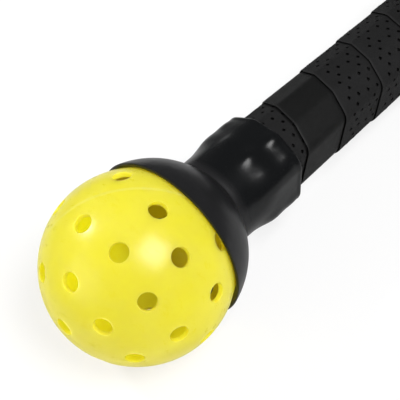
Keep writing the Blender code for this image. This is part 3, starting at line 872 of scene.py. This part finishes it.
TAPE_SLOPE = math.atan(TAPE_PITCH / GRIP_ROUND)
TAPE_TURN = GRIP_ROUND / math.cos(TAPE_SLOPE)
TAPE_SHOWN_WIDTH = TAPE_PITCH * math.cos(TAPE_SLOPE)
TAPE_LAP = 1.5 * MM
TAPE_ROWS = 19
TAPE_ROW_STEP = (TAPE_SHOWN_WIDTH + TAPE_LAP) / TAPE_ROWS
TAPE_EDGE_CUTS = (0.25 * MM, 0.6 * MM)
TAPE_EDGE_PRESSED = 0.12 * MM
TAPE_EDGE_PRESSED_WIDTH = 0.3 * MM
TAPE_HIDDEN_EDGE_THINNED = 0.35 * MM
HOLE_SPACING = 7.35 * MM
HOLE_SPACING_STEPS = 8
HOLE_STEP = HOLE_SPACING / HOLE_SPACING_STEPS
HOLE_RADIUS = 0.88 * MM
HOLE_DEPTH = 1.15 * MM
HOLE_LIP_WIDTH = 0.10 * MM
HOLE_LIP_DROP = 0.08 * MM
HOLE_PHASE = 5.2 * MM
HOLES_FROM_CUT_END = 1.5 * MM
HOLE_ROWS = (4, 6, 8, 12, 14, 16)
STAGGERED_ROWS = (6, 14)
# The turn beside the cup's rim has its rows further across, and the turn after it is plain.
RIM_TURN_ROWS = (6, 8, 10, 14, 16, 18)
RIM_TURN_STAGGERED = (8, 16)
RIM_TURN_SHIFT = 4
RIM_TURN_PULL = 0.6 * MM
PLAIN_TURN_START, PLAIN_TURN_END = -0.25, 0.80


def tape_height(across, depth):
    """A point's height over the wrapped surface, from its place across the tape and its depth in it."""
    top = -TAPE_EDGE_STEP * across / TAPE_SHOWN_WIDTH
    top -= TAPE_EDGE_PRESSED * hump(across, 0.0, TAPE_EDGE_PRESSED_WIDTH)
    top -= TAPE_HIDDEN_EDGE_THINNED * smooth_step(across, TAPE_SHOWN_WIDTH - 1.0 * MM, TAPE_SHOWN_WIDTH)
    lapped = 1.0 - smooth_step(across, TAPE_LAP + 0.2 * MM, TAPE_LAP + 1.1 * MM)
    under = -TAPE_THICKNESS + lapped * (TAPE_THICKNESS - TAPE_EDGE_STEP + 0.02 * MM)
    return top + (under - top) * min(1.0, -depth / TAPE_THICKNESS)


def pulled_narrow(point):
    """How far the turn beside the cup's rim is pulled towards its raised edge at a place."""
    beside_rim = smooth_step(-point.x, 0.20 * TAPE_TURN, 0.30 * TAPE_TURN)
    return RIM_TURN_PULL * beside_rim * smooth_step(point.y, 10.0 * MM, 22.0 * MM)


def wind(point):
    """Wind a point of the flat tape round the grip."""
    point.y -= pulled_narrow(point)
    slant = point.y / math.cos(TAPE_SLOPE)
    travelled = (point.x - slant * math.sin(TAPE_SLOPE)) * math.cos(TAPE_SLOPE)
    along = BUTT_FACE + TAPE_EDGE_FROM_BUTT + TAPE_PITCH * travelled / GRIP_ROUND + slant
    place, out = grip_walk(travelled)
    place = place + out * tape_height(point.y, point.z)
    return Vector((along, place.x, place.y))


def tape_holes(first, last, start, end):
    """The tape's punched holes as (column, row) of its mesh, short of its two cut ends."""
    holes = set()
    for column in range(first, last):
        travelled = HOLE_PHASE + column * HOLE_STEP
        turn = travelled / TAPE_TURN
        if PLAIN_TURN_START <= turn < PLAIN_TURN_END:
            continue
        beside_rim = turn < PLAIN_TURN_START
        for row in RIM_TURN_ROWS if beside_rim else HOLE_ROWS:
            staggered = row in (RIM_TURN_STAGGERED if beside_rim else STAGGERED_ROWS)
            shift = (HOLE_SPACING_STEPS // 2 if staggered else 0) - (RIM_TURN_SHIFT if beside_rim else 0)
            along = travelled * math.sin(TAPE_SLOPE) + row * TAPE_ROW_STEP * math.cos(TAPE_SLOPE)
            clear_of_ends = start + HOLES_FROM_CUT_END < along < end - HOLES_FROM_CUT_END
            if clear_of_ends and (column - shift) % HOLE_SPACING_STEPS == 0:
                holes.add((column, row))
    return holes


def punch_holes(tape, holes):
    """Punch round holes at chosen vertices of the flat tape's upper side, given as (column, row)."""
    bpy.ops.mesh.select_mode(type="VERT")
    bpy.ops.mesh.select_all(action="DESELECT")
    shape = bmesh.from_edit_mesh(tape.data)
    for vertex in shape.verts:
        column, row = (vertex.co.x - HOLE_PHASE) / HOLE_STEP, vertex.co.y / TAPE_ROW_STEP
        on_mesh = abs(column - round(column)) < 0.01 and abs(row - round(row)) < 0.01
        vertex.select_set(vertex.co.z > -0.1 * MM and on_mesh and (round(column), round(row)) in holes)
    bmesh.update_edit_mesh(tape.data)
    bpy.ops.mesh.bevel(affect="VERTICES", offset=0.9 * HOLE_RADIUS, offset_type="OFFSET", segments=3)
    bpy.ops.mesh.select_mode(type="FACE")
    bpy.ops.mesh.dissolve_faces()
    shape = bmesh.from_edit_mesh(tape.data)
    for face in shape.faces:
        if face.select:
            middle = face.calc_center_median()
            for vertex in face.verts:
                vertex.co = middle + (vertex.co - middle).normalized() * HOLE_RADIUS
    bmesh.update_edit_mesh(tape.data)
    bpy.ops.mesh.inset(thickness=HOLE_LIP_WIDTH, depth=-HOLE_LIP_DROP, use_individual=True)
    stroke(0.0, 0.0, -HOLE_DEPTH)


def grip_tape(material):
    """The tape as one band: a flat strip with punched holes, cut so that it ends square, then wound."""
    slope_way = Vector((math.sin(TAPE_SLOPE), math.cos(TAPE_SLOPE), 0.0))
    width = TAPE_ROWS * TAPE_ROW_STEP
    start = BUTT_FLANGE_THICKNESS + CLEARANCE - TAPE_EDGE_FROM_BUTT
    end = GRIP_LENGTH - TAPE_EDGE_FROM_BUTT
    first = math.floor(((start - width * slope_way.y) / slope_way.x - HOLE_PHASE) / HOLE_STEP)
    last = math.ceil((end / slope_way.x - HOLE_PHASE) / HOLE_STEP)
    middle = (HOLE_PHASE + (first + last) * HOLE_STEP / 2.0, width / 2.0, 0.0)
    deselect_all()
    bpy.ops.mesh.primitive_grid_add(
        x_subdivisions=last - first, y_subdivisions=TAPE_ROWS, size=1.0, location=middle)
    bpy.context.active_object.scale = ((last - first) * HOLE_STEP, width, 1.0)
    bpy.ops.object.transform_apply(location=True, scale=True)
    tape = open_piece("grip_tape_band")
    bpy.ops.mesh.bisect(plane_co=slope_way * start, plane_no=slope_way, clear_inner=True)
    bpy.ops.mesh.select_all(action="SELECT")
    bpy.ops.mesh.bisect(plane_co=slope_way * end, plane_no=slope_way, clear_outer=True)
    for across in TAPE_EDGE_CUTS:
        bpy.ops.mesh.select_all(action="SELECT")
        bpy.ops.mesh.bisect(plane_co=(0.0, across, 0.0), plane_no=(0.0, 1.0, 0.0))
    bpy.ops.mesh.select_all(action="SELECT")
    stroke(0.0, 0.0, -TAPE_THICKNESS)
    punch_holes(tape, tape_holes(first, last, start, end))
    bpy.ops.object.mode_set(mode="OBJECT")
    flat = tape.data.attributes.new("flat_tape", "FLOAT_VECTOR", "POINT")
    for vertex, place in zip(tape.data.vertices, flat.data):
        place.vector = vertex.co / MM
    reshape(tape, wind)
    # The winding turns the flat tape's faces inwards, so they are turned outwards after it.
    bpy.ops.object.mode_set(mode="EDIT")
    bpy.ops.mesh.select_all(action="SELECT")
    bpy.ops.mesh.normals_make_consistent(inside=False)
    bpy.ops.object.mode_set(mode="OBJECT")
    finish_piece(tape, "handle", material, ["grip_tape"], 40.0)


# Butt cap, core and end bands

# The shallow dish in the butt cap's plate, as (share of its depth, offset from the wrapped surface).
BUTT_DISH_DEPTH = 0.35 * MM
BUTT_DISH = ((1.0, -SECTION_ROUND), (1.0, -9.0 * MM), (0.9, -5.4 * MM), (0.15, -4.8 * MM), (0.0, -4.2 * MM),
             (0.0, -1.2 * MM))
BUTT_ROUNDING = 0.4 * MM
FLANGE_BEVEL = 0.15 * MM
SKIRT_BEVEL = 0.3 * MM


def butt_cap(material):
    """The moulded cap on the core's end: a plate with a shallow dish, a rounded flange, and its skirt."""
    inside = CORE_OFFSET - BUTT_SKIRT_WALL
    plate_end = BUTT_FACE + BUTT_PLATE_THICKNESS
    flange_end, skirt_end = BUTT_FACE + BUTT_FLANGE_THICKNESS, BUTT_FACE + BUTT_SKIRT_LENGTH
    steps = [(BUTT_FACE + share * BUTT_DISH_DEPTH, offset) for share, offset in BUTT_DISH]
    steps += arc(BUTT_FACE + BUTT_ROUNDING, -BUTT_ROUNDING, BUTT_ROUNDING, math.pi, 0.5 * math.pi, 5)
    steps += [(flange_end - FLANGE_BEVEL, 0.0), (flange_end, -FLANGE_BEVEL), (flange_end, CORE_OFFSET),
              (skirt_end - SKIRT_BEVEL, CORE_OFFSET), (skirt_end, CORE_OFFSET - SKIRT_BEVEL),
              (skirt_end, inside), (plate_end, inside), (plate_end, -SECTION_ROUND)]
    cap = turned("butt_cap_moulding", offsets_to_radii(steps), CORE_SIDES)
    reshape(cap, onto_section)
    finish_piece(cap, "handle", material, ["butt_cap"])


def core_block(name, end, end_bevel):
    """The handle's whole core, stepped down where the butt cap goes over it."""
    start = BUTT_FACE + BUTT_PLATE_THICKNESS + CLEARANCE
    shoulder = BUTT_FACE + BUTT_SKIRT_LENGTH + CLEARANCE
    spigot = CORE_OFFSET - BUTT_SKIRT_WALL - CLEARANCE
    steps = [(start, -SECTION_ROUND), (start, spigot), (shoulder, spigot), (shoulder, CORE_OFFSET),
             (end - end_bevel, CORE_OFFSET), (end, CORE_OFFSET - end_bevel), (end, -SECTION_ROUND)]
    block = turned(name, offsets_to_radii(steps), CORE_SIDES)
    reshape(block, onto_section)
    return block


def core_layer(name, low, high, end, end_bevel):
    """The layer of the core between two heights, where None stands for no cut on that side."""
    layer = core_block(name, end, end_bevel)
    select_only(layer)
    bpy.ops.object.mode_set(mode="EDIT")
    for height, keeps_above in ((low, True), (high, False)):
        if height is None:
            continue
        bpy.ops.mesh.select_all(action="SELECT")
        bpy.ops.mesh.bisect(plane_co=(0.0, 0.0, height), plane_no=(0.0, 0.0, 1.0), threshold=TINY,
                            clear_inner=keeps_above, clear_outer=not keeps_above)
        bpy.ops.mesh.edge_face_add()
    close_piece()
    return layer


HONEYCOMB_CELL = 8.0 * MM
HONEYCOMB_WALL = 0.7 * MM
# The sawn end runs through the first column of cells, which is centred past it by a share of the step.
HONEYCOMB_COLUMNS = 3
HONEYCOMB_ROWS = 5
HONEYCOMB_PAST_END = 0.2


def honeycomb_cells():
    """The open cells of the core's free end, as upright six sided prisms."""
    deselect_all()
    bpy.ops.mesh.primitive_circle_add(vertices=6, radius=(HONEYCOMB_CELL - HONEYCOMB_WALL) / math.sqrt(3.0),
                                      fill_type="NGON", location=(0.0, 0.0, -TONGUE_CORE_THICKNESS),
                                      rotation=(0.0, 0.0, math.radians(30.0)))
    cell = open_piece("cell")
    stroke(0.0, 0.0, 2.0 * TONGUE_CORE_THICKNESS)
    close_piece()
    bpy.ops.object.transform_apply(location=True, rotation=True)
    cells = []
    for column in range(HONEYCOMB_COLUMNS):
        for row in range(HONEYCOMB_ROWS):
            along = (HONEYCOMB_PAST_END - column) * math.sqrt(0.75)
            across = row - HONEYCOMB_ROWS // 2 + 0.5 * ((column + 1) % 2)
            copy = copy_of(cell)
            copy.location = (TONGUE_END + along * HONEYCOMB_CELL, across * HONEYCOMB_CELL, 0.0)
            cells.append(copy)
    bpy.data.objects.remove(cell)
    return join_all(cells)


def handle_core(core_finish, skin_finish, pallet_finish):
    """The tongue's honeycomb core, its two skins, and the pallets that make the handle thick."""
    half = TONGUE_CORE_THICKNESS / 2.0
    skin_low = half + CLEARANCE
    skin_high = skin_low + TONGUE_SKIN_THICKNESS
    pallet_low = skin_high + CLEARANCE
    core = core_layer("honeycomb_core", -half, half, TONGUE_END, 0.0)
    cut_away(core, honeycomb_cells())
    finish_piece(core, "handle", core_finish, ["tongue_core"])
    for node, low, high in (("tongue_skin_upper", skin_low, skin_high),
                            ("tongue_skin_lower", -skin_high, -skin_low)):
        skin = core_layer(node + "_sheet", low, high, TONGUE_END, 0.0)
        finish_piece(skin, "handle", skin_finish, [node])
    for node, low, high in (("pallet_upper", pallet_low, None), ("pallet_lower", None, -pallet_low)):
        pallet = core_layer(node + "_block", low, high, PALLET_END, PALLET_END_BEVEL)
        finish_piece(pallet, "handle", pallet_finish, [node])


def grip_band(name, steps, material, node):
    """A closed band round the grip, from its cross section as (along, offset)."""
    band = turned(name, offsets_to_radii(steps + steps[:1]), BAND_SIDES)
    reshape(band, onto_section)
    finish_piece(band, "handle", material, [node])


def end_bands(tape_finish, collar_finish):
    """The finishing tape over the band's cut end, and the rubber collar, whose inner lip closes the end."""
    end = GRIP_END + CLEARANCE
    start = end - FINISHING_TAPE_WIDTH
    tight, edge = 0.04 * MM, 0.12 * MM
    top = FINISHING_TAPE_OFFSET
    grip_band("finishing_tape_band", [
        (start, tight), (start, top - edge), (start + 0.3 * edge, top - 0.3 * edge), (start + edge, top),
        (start + 0.3 * FINISHING_TAPE_WIDTH, top - 0.05 * MM), (start + 0.6 * FINISHING_TAPE_WIDTH, top),
        (end, top), (end, tight)], tape_finish, "finishing_tape")
    collar_start = PALLET_END - COLLAR_WIDTH
    lip_start = end + CLEARANCE
    inner = FINISHING_TAPE_OFFSET + 0.05 * MM
    rounding = 0.5 * MM
    steps = [(collar_start, inner), (collar_start, COLLAR_OFFSET - rounding)]
    steps += arc(collar_start + rounding, COLLAR_OFFSET - rounding, rounding, math.pi, 0.5 * math.pi, 5)[1:]
    steps += arc(PALLET_END - rounding, COLLAR_OFFSET - rounding, rounding, 0.5 * math.pi, 0.0, 5)
    lip_rounding = 0.25 * MM
    lip = CORE_OFFSET + CLEARANCE
    steps += arc(PALLET_END - lip_rounding, lip + lip_rounding, lip_rounding, 0.0, -0.5 * math.pi, 3)
    steps += [(lip_start, lip), (lip_start, inner)]
    grip_band("collar_ring", steps, collar_finish, "collar_band")


# Floor and light

FLOOR_SIZE = 6.0
FLOOR_DROP = 0.4 * MM
FLOOR_COLOUR = 0.93
# How much darker the floor is where it is mirrored: close to the object, and what is added further away.
FLOOR_MIRRORED = 0.40
FLOOR_MIRRORED_AWAY = 0.48
# How white the camera sees the floor: close to the object, where its shadow lies, and further away.
FLOOR_WHITENESS = (0.72, 1.0)
WORLD_LEVEL = 0.16
# Softboxes as (name, direction from the ball, distance, side, watts), in metres.
SOFTBOXES = (
    ("key_softbox", (-0.215, 0.756, 0.618), 1.1, 0.14, 5.4),
    ("front_softbox", (0.085, -0.48, 0.873), 1.4, 0.70, 20.5),
    ("side_softbox", (-0.85, 0.40, 0.30), 1.4, 1.0, 5.4))


def white_floor():
    """A plain white floor that the camera sees as white, but for the object's faint shadow."""
    deselect_all()
    bpy.ops.mesh.primitive_plane_add(size=FLOOR_SIZE, location=(0.0, 0.0, -FLOOR_DROP))
    floor = bpy.context.active_object
    floor.name = floor.data.name = "floor"
    finish = Finish("floor_white", roughness=0.9, specular_ior_level=0.2)
    position = finish.node("TexCoord", output="Object")
    distance = finish.node("VectorMath", {"operation": "LENGTH"}, {0: position}, "Value")
    away = finish.ramp(distance, 0.16, 0.34)
    mirrored = finish.node("LightPath", output="Is Glossy Ray")
    finish.feed("Base Color", FLOOR_COLOUR - mirrored * (FLOOR_MIRRORED + FLOOR_MIRRORED_AWAY * away))
    seen = finish.node("LightPath", output="Is Camera Ray")
    whiteness = seen * finish.ramp(distance, 0.20, 0.80, *FLOOR_WHITENESS)
    lit = Shade(finish, finish.shader.outputs[0])
    white = finish.node("Emission", {}, {"Color": shade_of(1.0, 1.0, 1.0), "Strength": 1.0})
    mixed = finish.node("MixShader", {}, {0: whiteness, 1: lit, 2: white})
    finish.links.new(mixed.socket, finish.nodes["Material Output"].inputs["Surface"])
    floor.data.materials.append(finish.material)


def white_world():
    """Soft white light from all round, and a white backdrop."""
    world = bpy.data.worlds.new("studio")
    bpy.context.scene.world = world
    world.use_nodes = True
    nodes, links = world.node_tree.nodes, world.node_tree.links
    rays = nodes.new("ShaderNodeLightPath")
    around = nodes["Background"]
    around.inputs["Color"].default_value = shade_of(1.0, 1.0, 1.0)
    around.inputs["Strength"].default_value = WORLD_LEVEL
    backdrop = nodes.new("ShaderNodeBackground")
    backdrop.inputs["Color"].default_value = shade_of(1.0, 1.0, 1.0)
    backdrop.inputs["Strength"].default_value = 1.0
    mix = nodes.new("ShaderNodeMixShader")
    links.new(rays.outputs["Is Camera Ray"], mix.inputs[0])
    links.new(around.outputs[0], mix.inputs[1])
    links.new(backdrop.outputs[0], mix.inputs[2])
    links.new(mix.outputs[0], nodes["World Output"].inputs["Surface"])


def softbox(name, towards, distance, size, watts):
    """A square softbox that lights the ball from a direction."""
    data = bpy.data.lights.new(name, "AREA")
    data.shape = "SQUARE"
    data.size = size
    data.energy = watts
    light = bpy.data.objects.new(name, data)
    bpy.context.scene.collection.objects.link(light)
    way = Vector(towards).normalized()
    light.matrix_world = Matrix.Translation(ball_centre + way * distance) @ way.to_track_quat(
        "Z", "Y").to_matrix().to_4x4()


photo_camera()
white_world()
for lamp in SOFTBOXES:
    softbox(*lamp)
white_floor()
bpy.context.scene.view_settings.view_transform = "Standard"

retriever_cup(cup_rubber())
caught_ball(ball_plastic())
grip_tape(tape_leather())
butt_cap(moulded_black("cap_plastic", 0.42, 2.0, 0.02))
handle_core(honeycomb_plastic(), fibre_sheet(), pallet_foam())
end_bands(thin_band_tape(), moulded_black("collar_rubber", 0.55, 1.2, 0.04))
deselect_all()
